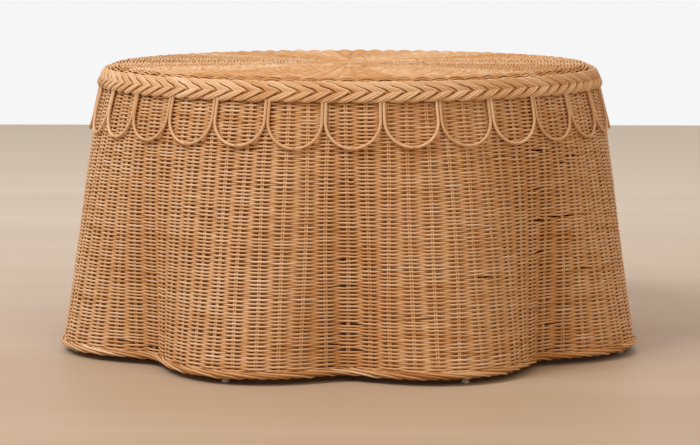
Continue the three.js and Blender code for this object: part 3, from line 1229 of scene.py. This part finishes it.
@dataclass
class RimBraid:
    """The plaited rim: leaves of canes that run over the shoulder and fold back to the lower edge."""

    rim_radius: float = 405 * MM
    inner_radius: float = 394 * MM
    top: float = 439.5 * MM
    underside: float = 410.5 * MM
    belly_rise: float = 6 * MM
    lean_power: float = 1.4
    face_points: int = 14
    tip_height: float = 424.5 * MM
    leaves: int = 96
    canes_each: int = 3
    cane: float = 4.2 * MM
    upper_run: float = 2.0
    lower_run: float = 1.75
    arm_points: int = 16
    arm_power: float = 1.35
    fold: float = 0.06  # how far the lower arms start above the tips, as a share of the section
    sink: float = 1.7 * MM
    loose: float = 0.3 * MM
    pinch: tuple[float, float] = (0.17, 0.25)
    leaf_tone: tuple[float, float] = (0.7, 0.055)
    cane_tone: float = 0.05
    # painted light across a leaf: the cane tucked under the leaf before is darker, the top one lighter
    painted_light_across_leaf: float = 0.04
    core_steps: int = 192
    # the core's dark tone is painted shade seen in the slots between the leaves
    core_tone: float = 0.2

    def from_edge(self, offsets: Sequence[tuple[float, float]]) -> np.ndarray:
        """Points in section, given in millimetres out from the rim's radius and up from its underside."""
        return np.array([self.rim_radius, self.underside]) + np.array(offsets) * MM

    def section(self) -> tuple[np.ndarray, np.ndarray]:
        """Draw the rim's face in section, from its inner top edge over its belly to its underside.

        Returns:
            Radius and height of each point, and its way down the section, from 0 to 1.
        """
        share = np.linspace(1, 0, self.face_points)
        belly = self.underside + self.belly_rise
        lean = self.rim_radius - (self.rim_radius - self.inner_radius) * share ** self.lean_power
        face = np.column_stack([lean, belly + (self.top - belly) * share])
        start = np.array([[self.inner_radius - 2.4 * MM, self.top - 0.4 * MM]])
        toe = self.from_edge([(-0.3, 3.0), (-1.4, 0.7), (-3.4, -0.1), (-4.8, 0.6)])
        outline = np.vstack([start, face, toe])
        way = along(outline)
        return outline, way / way[-1]

    def on_face(self, angle: np.ndarray, way: np.ndarray, lift: np.ndarray) -> np.ndarray:
        """Points on the rim.

        Args:
            angle: Angles from the front.
            way: Ways down the section, from 0 at its inner top edge to 1 at its end.
            lift: Heights over the face.

        Returns:
            One row of x, y and z for each point.
        """
        outline, ways = self.section()
        radius, height = (np.interp(way, ways, outline[:, axis]) for axis in (0, 1))
        probe = 0.03
        ahead, behind = np.clip(way + probe, 0, 1), np.clip(way - probe, 0, 1)
        down = np.column_stack([
            np.interp(ahead, ways, outline[:, axis]) - np.interp(behind, ways, outline[:, axis])
            for axis in (0, 1)
        ])
        down /= np.linalg.norm(down, axis=1)[:, None]
        raised = lift - self.sink
        return ring_of(angle, radius - down[:, 1] * raised, height + down[:, 0] * raised)

    def tip_way(self) -> float:
        """Way down the section at which the tips of the leaves lie."""
        outline, ways = self.section()
        return float(np.interp(-self.tip_height, -outline[:, 1], ways))

    def upper_arm(self, at: float, off: float, pinch: float, loose: float) -> np.ndarray:
        """One cane of a leaf from the rim's inner edge to the leaf's tip.

        Args:
            at: Angle of the tip.
            off: Place of the cane in the leaf, from its middle one.
            pinch: How close the canes come before the tip, as a share of the leaves' pitch.
            loose: How far the leaf lies off the rim.

        Returns:
            The points of its line.
        """
        pitch = TURN / self.leaves
        share = np.linspace(0, 1, self.arm_points)
        wide = np.interp(share, [0, 0.58, 0.66, 0.78, 0.86, 1], [0.26, 0.31, pinch, pinch, 0.29, 0.27])
        lift = np.interp(share, [0, 0.15, 0.5, 0.8, 0.93, 1], [-1.8, 0.0, 0.8, 0.8, 0.0, -1.6])
        lift += off * np.interp(share, [0.2, 0.6, 0.9, 1], [0.1, 0.3, 0.4, 0.2])
        angle = at + off * wide * pitch - self.upper_run * pitch * (1 - share)
        return self.on_face(angle, self.tip_way() * share ** self.arm_power, lift * MM + loose)

    def lower_arm(self, at: float, off: float, loose: float) -> np.ndarray:
        """One cane of a leaf from its tip back to the rim's underside.

        Args:
            at: Angle of the tip.
            off: Place of the cane in the leaf, from its middle one.
            loose: How far the leaf lies off the rim.

        Returns:
            The points of its line.
        """
        pitch = TURN / self.leaves
        share = np.linspace(0, 1, self.arm_points)
        wide = np.interp(share, [0, 0.25, 0.6, 1], [0.16, 0.25, 0.25, 0.06])
        lift = np.interp(share, [0, 0.12, 0.45, 0.8, 1], [-0.9, 0.4, 1.5, 1.2, -2.6])
        lift += off * 0.6 - 0.6 * abs(off) * np.sin(math.pi * share)
        angle = at + off * wide * pitch - self.lower_run * pitch * share
        start = self.tip_way() - self.fold
        way = start + (1 - start) * (1 - (1 - share) ** self.arm_power)
        return self.on_face(angle, way, lift * MM + loose)

    def arms(self) -> tuple[list[Cane], list[Cane]]:
        """Plait the leaves.

        Returns:
            The canes above the leaves' tips and those below them.
        """
        draw = np.random.default_rng(96)
        upper, lower = [], []
        for leaf in range(self.leaves):
            at = leaf * TURN / self.leaves
            leaf_tone = draw.normal(*self.leaf_tone)
            loose = draw.normal(0, self.loose)
            pinch = draw.uniform(*self.pinch)
            for place in range(self.canes_each):
                off = place - (self.canes_each - 1) / 2
                tone = float(np.clip(leaf_tone + draw.normal(0, self.cane_tone), 0.1, 0.95))
                # painted shade on the tucked-under cane, painted highlight on the top one
                tone -= self.painted_light_across_leaf * (1 - place)
                upper.append(Cane(self.upper_arm(at, off, pinch, loose), tone))
                lower.append(Cane(self.lower_arm(at, off, loose), tone))
        return upper, lower

    def core(self) -> bpy.types.Object:
        """Spin the band of packing canes that the leaves lie on.

        Returns:
            The band.
        """
        section = self.from_edge([
            (-4.4, 1.6), (-3.2, 1.6), (-3.0, 6.0), (-5.6, 14.0), (-9.1, 21.0), (-10.5, 24.5), (-10.5, 17.4),
            (-4.4, 11.4),
        ])
        bpy.ops.object.select_all(action="DESELECT")
        bpy.ops.mesh.primitive_circle_add(
            vertices=len(section), radius=self.cane, fill_type="NGON", location=(0, 0, 0)
        )
        piece = bpy.context.view_layer.objects.active
        piece.name = piece.data.name = "rim_core"
        for vertex, (radius, height) in zip(piece.data.vertices, section):
            vertex.co = (radius, 0, height)
        bpy.ops.object.mode_set(mode="EDIT")
        bpy.ops.mesh.select_all(action="SELECT")
        bpy.ops.mesh.delete(type="ONLY_FACE")
        bpy.ops.mesh.select_all(action="SELECT")
        bpy.ops.mesh.spin(steps=self.core_steps, angle=TURN, center=(0, 0, 0), axis=(0, 0, 1))
        bpy.ops.mesh.select_all(action="SELECT")
        bpy.ops.mesh.remove_doubles(threshold=0.01 * MM)
        bpy.ops.mesh.normals_make_consistent(inside=False)
        bpy.ops.object.mode_set(mode="OBJECT")
        x, y, z = corners_of(piece).T
        # the core's low tone paints shade into the slots between the leaves
        mark_lay(piece, np.column_stack([
            np.arctan2(x, -y) * self.rim_radius, z / (10 * MM), np.full(len(x), self.core_tone)
        ]))
        bpy.ops.object.shade_smooth_by_angle(angle=math.radians(40))
        return piece

    def build(self, coat: Coat) -> None:
        """Plait the rim over its core.

        Args:
            coat: The finish of the plaited canes.
        """
        upper, lower = self.arms()
        dress(lay_canes("rim_plait_upper", upper, self.cane, 6), coat, ["rim_braid"])
        dress(lay_canes("rim_plait_lower", lower, self.cane, 6), coat, ["rim_braid"])
        dress(self.core(), coat, ["rim_braid"])


@dataclass
class Scallops:
    """The row of cane loops under the rim, each bound with thin cane at its lowest point."""

    form: SkirtForm
    count: int = 30
    phase_share: float = 0.13
    cane: float = 4.6 * MM
    drop: float = 66 * MM
    stand_off: float = 1.5 * MM
    gap: float = 0.3 * MM
    end_gap: float = 0.8 * MM
    tuck: float = 3 * MM
    bend_points: int = 33
    lean: float = 1.2 * MM
    sag: float = 0.8 * MM
    tone: tuple[float, float] = (0.72, 0.06)
    tie_cane: float = 1.1 * MM
    tie_turns: float = 2.4
    tie_width: float = 3.6 * MM
    tie_points: int = 30

    def loop(self, middle: float, lean: float, sag: float) -> np.ndarray:
        """The middle line of one scallop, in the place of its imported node.

        Args:
            middle: Angle of its lowest point.
            lean: How far that point has slipped to the right.
            sag: How far it hangs lower.

        Returns:
            The points of its line, from its left end to its right end.
        """
        hang_radius = self.form.top_radius + self.cane / 2
        half_width = (TURN * hang_radius / self.count - self.cane) / 2 - self.gap
        straight = self.drop - self.gap - half_width
        ends = np.array([-self.tuck, 0.0, straight * 0.35, straight * 0.7])
        side = np.full(len(ends), half_width)
        swing = np.linspace(0, math.pi, self.bend_points)
        across = np.concatenate([-side, -half_width * np.cos(swing), side])
        fall = np.concatenate([ends, straight + half_width * np.sin(swing), ends[::-1]])
        hung = np.clip(fall, 0, None) / self.drop
        height = self.form.rim_underside - self.end_gap - fall - sag * hung ** 2
        angle = middle + (across + lean * hung ** 2) / hang_radius
        off = self.gap + (self.stand_off - self.gap) * hung
        return ring_of(angle, self.form.radius(angle, height) + self.cane / 2 + off, height)

    def tie(self, middle: float, lowest: np.ndarray) -> Cane:
        """Wind the thin binding round a scallop.

        Args:
            middle: Angle of the scallop's lowest point.
            lowest: The lowest point of its middle line.

        Returns:
            The binding.
        """
        across = np.array([math.cos(middle), math.sin(middle), 0.0])
        out = np.array([math.sin(middle), -math.cos(middle), 0.0])
        way = np.linspace(0, 1, self.tie_points)
        swing = way * self.tie_turns * TURN
        reach = self.cane / 2 + self.gap
        points = lowest + np.outer((way - 0.5) * self.tie_width, across)
        points += np.outer(np.cos(swing) * reach, out) + np.outer(np.sin(swing) * reach, (0, 0, 1))
        return Cane(points, self.tone[0])

    def build(self, coat: Coat) -> None:
        """Bend the scallops and tie them.

        Args:
            coat: The finish of round cane.
        """
        draw = np.random.default_rng(41)
        ties = []
        for index in range(self.count):
            middle = TURN * (index + self.phase_share) / self.count
            line = self.loop(middle, draw.normal(0, self.lean), draw.normal(0, self.sag))
            cane = Cane(line, float(np.clip(draw.normal(*self.tone), 0, 1)))
            number = f"{index + 1:02d}"
            piece = lay_canes(f"scallop_cane_{number}", [cane], self.cane, 10)
            dress(piece, coat, [f"scallop_{number}"])
            ties.append(self.tie(middle, line[len(line) // 2]))
        dress(lay_canes("scallop_ties", ties, self.tie_cane, 6), coat)


@dataclass
class PoleFrame:
    """The frame of bent rattan poles inside the skirt, with its cane bindings."""

    form: SkirtForm
    top_ring_radius: float = 381.7 * MM
    top_ring_height: float = 414.9 * MM
    top_ring_pole: float = 24 * MM
    middle_ring_height: float = 200 * MM
    middle_ring_depth: float = 12.3 * MM
    middle_ring_pole: float = 12 * MM
    base_ring_height: float = 16 * MM
    base_ring_depth: float = 18.3 * MM
    base_ring_pole: float = 16 * MM
    base_ring_radius: float = 450 * MM  # near a crest
    leg_pole: float = 18 * MM
    leg_inset: float = 27.9 * MM
    leg_top: float = 402.6 * MM
    leg_bottom: float = 24.3 * MM
    leg_straight: float = 10 * MM
    leg_lean_shares: Sequence[float] = (0, 0.35, 0.7, 1)
    rail_pole: float = 22 * MM
    rail_height: float = 415.9 * MM
    rail_end: float = 368.5 * MM
    rail_start: float = 11.3 * MM
    joint_spacing: float = 260 * MM
    joint_swell: float = 0.03
    joint_reach: float = 4 * MM
    sides: int = 14
    ring_points: int = 288
    rail_points: int = 60
    binding: float = 2.2 * MM
    binding_points: int = 14  # in each turn
    binding_tone: float = 0.6
    # Ends of the bindings: heights on the legs, and distances from a leg on the rings and from a rail's end
    leg_bindings: Sequence[tuple[float, float]] = (
        (376 * MM, 399 * MM), (208 * MM, 224 * MM), (176 * MM, 192 * MM), (26 * MM, 45 * MM),
    )
    ring_binding: tuple[float, float] = (11 * MM, 27 * MM)
    rail_binding: tuple[float, float] = (20 * MM, 2 * MM)

    def pole(self, name: str, line: np.ndarray, thickness: float, closed: bool = False) -> bpy.types.Object:
        """Bend one pole, a little thicker at each joint of the plant.

        Args:
            name: The piece's name.
            line: Its middle line.
            thickness: Its diameter.
            closed: Whether it is a ring.

        Returns:
            The pole.
        """
        off = np.abs((along(line) / self.joint_spacing + 0.5) % 1 - 0.5) * self.joint_spacing
        girth = 1 + self.joint_swell * np.exp(-(off / self.joint_reach) ** 2)
        return lay_canes(name, [Cane(line, 0.5, girth, closed)], thickness, self.sides)

    def leg_line(self, angle: float) -> np.ndarray:
        """The middle line of the leg behind one crest.

        Args:
            angle: Angle of the crest.

        Returns:
            Its points, from its top down.
        """
        shoulder = self.leg_top - self.leg_straight
        foot = self.leg_bottom + self.leg_straight
        rows = [(self.top_ring_radius, self.leg_top), (self.top_ring_radius, shoulder)]
        for share in self.leg_lean_shares:
            height = self.middle_ring_height + (foot - self.middle_ring_height) * share
            inset = self.leg_inset + (self.base_ring_depth - self.leg_inset) * share
            rows.append((float(self.form.radius(angle, height)) - inset, height))
        rows.append((float(self.form.radius(angle, self.form.hem)) - self.base_ring_depth, self.leg_bottom))
        radius, height = np.array(rows).T
        return smooth_line(ring_of(angle, radius, height), 6)

    def coil(self, start: np.ndarray, end: np.ndarray, thickness: float) -> Cane:
        """A binding of thin cane wound round a pole.

        Args:
            start: Where on the pole's middle line it starts.
            end: Where it ends.
            thickness: Diameter of the pole.

        Returns:
            The binding.
        """
        axis = end - start
        length = float(np.linalg.norm(axis))
        axis = axis / length
        side = np.cross(axis, (0.0, 0.0, 1.0) if abs(axis[2]) < 0.8 else (1.0, 0.0, 0.0))
        side = side / np.linalg.norm(side)
        third = np.cross(axis, side)
        turns = length / self.binding
        swing = np.linspace(0, turns * TURN, int(turns * self.binding_points))
        reach = thickness / 2 + self.binding * 0.32
        points = start + np.outer(swing / swing[-1] * length, axis)
        points += np.outer(np.cos(swing) * reach, side) + np.outer(np.sin(swing) * reach, third)
        return Cane(points, self.binding_tone)

    def bindings(self) -> dict[str, list[Cane]]:
        """Wind the bindings at the legs' ends, at the middle ring and at the ends of the rails.

        Returns:
            The bindings by the name of their piece.
        """
        legs, rings, rails = [], [], []
        for index in range(self.form.flutes):
            middle = self.form.crest(index)
            line = self.leg_line(middle)[::-1]
            for low, high in self.leg_bindings:
                top, bottom = (
                    np.array([np.interp(height, line[:, 2], line[:, axis]) for axis in range(3)])
                    for height in (high, low)
                )
                legs.append(self.coil(top, bottom, self.leg_pole))
            for side in (-1, 1):
                aside = side * np.array(self.ring_binding)
                turned = middle + aside / self.top_ring_radius
                ends = ring_of(turned, self.top_ring_radius, self.top_ring_height)
                rings.append(self.coil(*ends, self.top_ring_pole))
                turned = middle + aside / self.base_ring_radius
                ends = self.form.point(turned, self.form.hem, self.base_ring_depth, self.base_ring_height)
                rings.append(self.coil(*ends, self.base_ring_pole))
        for direction in ((1, 0), (-1, 0), (0, 1), (0, -1)):
            ends = [
                np.array([*(np.array(direction) * (self.rail_end - place)), self.rail_height])
                for place in self.rail_binding
            ]
            rails.append(self.coil(*ends, self.rail_pole))
        return {"leg_bindings": legs, "ring_bindings": rings, "rail_bindings": rails}

    def build(self, wood: Coat, cane: Coat) -> None:
        """Bend the poles, set them in place and bind their joints.

        Args:
            wood: The finish of the poles.
            cane: The finish of the bindings.
        """
        angle = np.linspace(0, TURN, self.ring_points, endpoint=False)
        point = self.form.point
        rings = {
            "top_ring": (ring_of(angle, self.top_ring_radius, self.top_ring_height), self.top_ring_pole),
            "middle_ring": (
                point(angle, self.middle_ring_height, self.middle_ring_depth), self.middle_ring_pole
            ),
            "base_ring": (
                point(angle, self.form.hem, self.base_ring_depth, self.base_ring_height), self.base_ring_pole
            ),
        }
        for name, (line, thickness) in rings.items():
            dress(self.pole(f"{name}_pole", line, thickness, True), wood, [name])
        way = np.linspace(0, 1, self.rail_points)[:, None]
        rails = {
            "cross_rail": ((-self.rail_end, 0.0), (self.rail_end, 0.0)),
            "cross_rail_front": ((0.0, -self.rail_end), (0.0, -self.rail_start)),
            "cross_rail_back": ((0.0, self.rail_start), (0.0, self.rail_end)),
        }
        for name, (start, end) in rails.items():
            line = np.array([*start, self.rail_height]) * (1 - way) + np.array([*end, self.rail_height]) * way
            dress(self.pole(f"{name}_pole", line, self.rail_pole), wood, [name])
        for index in range(self.form.flutes):
            number = f"{index + 1:02d}"
            line = self.leg_line(self.form.crest(index))
            dress(self.pole(f"leg_pole_{number}", line, self.leg_pole), wood, [f"leg_{number}"])
        for name, canes in self.bindings().items():
            dress(lay_canes(name, canes, self.binding, 6), cane)


@dataclass
class Glides:
    """The clear buttons under the base ring, turned once and copied under each crest."""

    form: SkirtForm
    face_radius: float = 4 * MM
    radius: float = 6.5 * MM
    neck_radius: float = 4.5 * MM
    bulge: float = 2 * MM
    neck: float = 6 * MM
    seat: float = 7.7 * MM
    depth: float = 18.3 * MM
    soft_edge: float = 0.6 * MM

    def button(self) -> bpy.types.Object:
        """Shape one glide from a cylinder, on the axis.

        Returns:
            The glide.
        """
        bpy.ops.object.select_all(action="DESELECT")
        bpy.ops.mesh.primitive_cylinder_add(
            vertices=32, radius=self.radius, depth=self.neck - self.bulge,
            location=(0, 0, (self.neck + self.bulge) / 2),
        )
        piece = bpy.context.view_layer.objects.active
        bpy.ops.object.transform_apply(location=True, rotation=True, scale=True)
        select_where(piece, lambda middle, normal: normal.z < -0.9)
        bpy.ops.mesh.extrude_region_move(TRANSFORM_OT_translate={"value": (0, 0, -self.bulge)})
        share = self.face_radius / self.radius
        bpy.ops.transform.resize(value=(share, share, 1), center_override=(0, 0, 0))
        select_where(piece, lambda middle, normal: normal.z > 0.9)
        share = self.neck_radius / self.radius
        bpy.ops.transform.resize(value=(share, share, 1), center_override=(0, 0, self.neck))
        bpy.ops.mesh.extrude_region_move(TRANSFORM_OT_translate={"value": (0, 0, self.seat - self.neck)})
        bpy.ops.object.mode_set(mode="OBJECT")
        bevel = piece.modifiers.new("soft edges", "BEVEL")
        bevel.width = self.soft_edge
        bevel.segments = 3
        bevel.limit_method = "ANGLE"
        bevel.angle_limit = math.radians(25)
        bpy.ops.object.modifier_apply(modifier=bevel.name)
        bpy.ops.object.shade_smooth_by_angle(angle=math.radians(50))
        return piece

    def build(self, coat: Coat) -> None:
        """Copy the button under each crest.

        Args:
            coat: The finish of clear plastic.
        """
        first = self.button()
        for index in range(self.form.flutes):
            crest = np.array([self.form.crest(index)])
            place = Vector(self.form.point(crest, self.form.hem, self.depth, 0.0)[0])
            number = f"{index + 1:02d}"
            piece = bpy.data.objects.new(f"glide_button_{number}", first.data.copy())
            bpy.context.collection.objects.link(piece)
            for vertex in piece.data.vertices:
                vertex.co += place
            dress(piece, coat, [f"glide_{number}"])
        bpy.data.objects.remove(first)


@dataclass(frozen=True)
class Lamp:
    """A square soft light that is aimed at the table."""

    name: str
    place: tuple[float, float, float]
    size: float
    power: float
    tint: str


@dataclass
class Studio:
    """The camera where the photographer stood, a plain pale floor and soft light from the upper left."""

    lens: float = 124.05
    turned: float = math.radians(0.9)
    distance: float = 3.903
    height: float = 0.6705
    tilt: float = 0.124
    floor_size: float = 8.2
    backdrop: str = "#f6f6f7"
    ambient: float = 0.5
    ambient_tint: str = "#ffecd4"
    aim: tuple[float, float, float] = (0, 0, 0.25)
    lamps: Sequence[Lamp] = (
        Lamp("window light", (-2.2, -1.8, 3.5), 1.8, 124.0, "#f8faff"),
        Lamp("front fill", (1.7, -3.0, 2.6), 2.2, 28.0, "#ffe9cf"),
        Lamp("sky light", (0.4, 0.4, 3.4), 2.8, 17.0, "#ffffff"),
    )

    def place_camera(self) -> None:
        """Set up the camera at the photograph's viewing angle."""
        data = bpy.data.cameras.new("camera")
        data.lens = self.lens
        data.sensor_width = 36
        data.clip_end = 100
        camera = bpy.data.objects.new("camera", data)
        bpy.context.collection.objects.link(camera)
        camera.location = (
            self.distance * math.sin(self.turned), -self.distance * math.cos(self.turned), self.height
        )
        camera.rotation_euler = (math.pi / 2 - self.tilt, 0, self.turned)
        bpy.context.scene.camera = camera

    def lay_floor(self) -> None:
        """Lay the floor."""
        bpy.ops.object.select_all(action="DESELECT")
        bpy.ops.mesh.primitive_plane_add(size=self.floor_size, location=(0, 0, 0))
        floor = bpy.context.view_layer.objects.active
        floor.name = "floor"
        floor.data.materials.append(FloorFinish().coat().material)
        floor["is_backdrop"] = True

    def paint_world(self) -> None:
        """Give the world its even light, and the pale look that cameras, gloss and clear plastic see."""
        world = bpy.data.worlds.new("studio")
        bpy.context.scene.world = world
        world.use_nodes = True
        tree = world.node_tree
        tree.nodes.clear()
        path = add_node(tree, "ShaderNodeLightPath")
        glossy = add_node(
            tree, "ShaderNodeMath", {"operation": "MAXIMUM"},
            {0: path.outputs["Is Camera Ray"], 1: path.outputs["Is Glossy Ray"]},
        )
        seen = add_node(
            tree, "ShaderNodeMath", {"operation": "MAXIMUM"},
            {0: glossy.outputs[0], 1: path.outputs["Is Transmission Ray"]},
        )
        even = add_node(
            tree, "ShaderNodeBackground", {"Color": linear(self.ambient_tint), "Strength": self.ambient}
        )
        pale = add_node(tree, "ShaderNodeBackground", {"Color": linear(self.backdrop), "Strength": 1.0})
        mixed = add_node(
            tree, "ShaderNodeMixShader", links={0: seen.outputs[0], 1: even.outputs[0], 2: pale.outputs[0]}
        )
        add_node(tree, "ShaderNodeOutputWorld", links={"Surface": mixed.outputs[0]})

    def hang_lamps(self) -> None:
        """Hang the lamps and aim them at the table."""
        for lamp in self.lamps:
            data = bpy.data.lights.new(lamp.name, "AREA")
            data.shape = "SQUARE"
            data.size = lamp.size
            data.energy = lamp.power
            data.color = linear(lamp.tint)[:3]
            light = bpy.data.objects.new(lamp.name, data)
            bpy.context.collection.objects.link(light)
            light.location = lamp.place
            light.rotation_euler = (Vector(self.aim) - light.location).to_track_quat("-Z", "Y").to_euler()

    def build(self) -> None:
        """Set up the camera, the floor and the light."""
        self.place_camera()
        self.lay_floor()
        self.paint_world()
        self.hang_lamps()
        bpy.context.scene.view_settings.view_transform = "Standard"


def corners() -> list[list[float]]:
    """The shown object's lowest and highest corner as plain lists."""
    return [list(corner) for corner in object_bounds()]


def main() -> None:
    """Build the table's pieces in order."""
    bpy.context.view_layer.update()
    Studio().build()
    weave = CaneFinish("rattan core, natural", Slot.WEAVE).coat()
    plait = CaneFinish("rattan core, plaited", Slot.PLAIT).coat()
    cane = CaneFinish("rattan cane, round", Slot.CANE).coat()
    form = SkirtForm()
    WovenSkirt(form).build(weave)
    HemBorder(form).build(plait)
    WovenTop().build(weave)
    RimBraid().build(plait)
    Scallops(form).build(cane)
    PoleFrame(form).build(PoleFinish().coat(), cane)
    Glides(form).build(PlasticFinish().coat())
    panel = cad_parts["top_panel"]
    panel.data.materials.clear()
    panel.data.materials.append(PlywoodFinish().coat().material)
    log.info("top_panel: %d faces", len(panel.data.polygons))


if __name__ == "__main__":
    main()
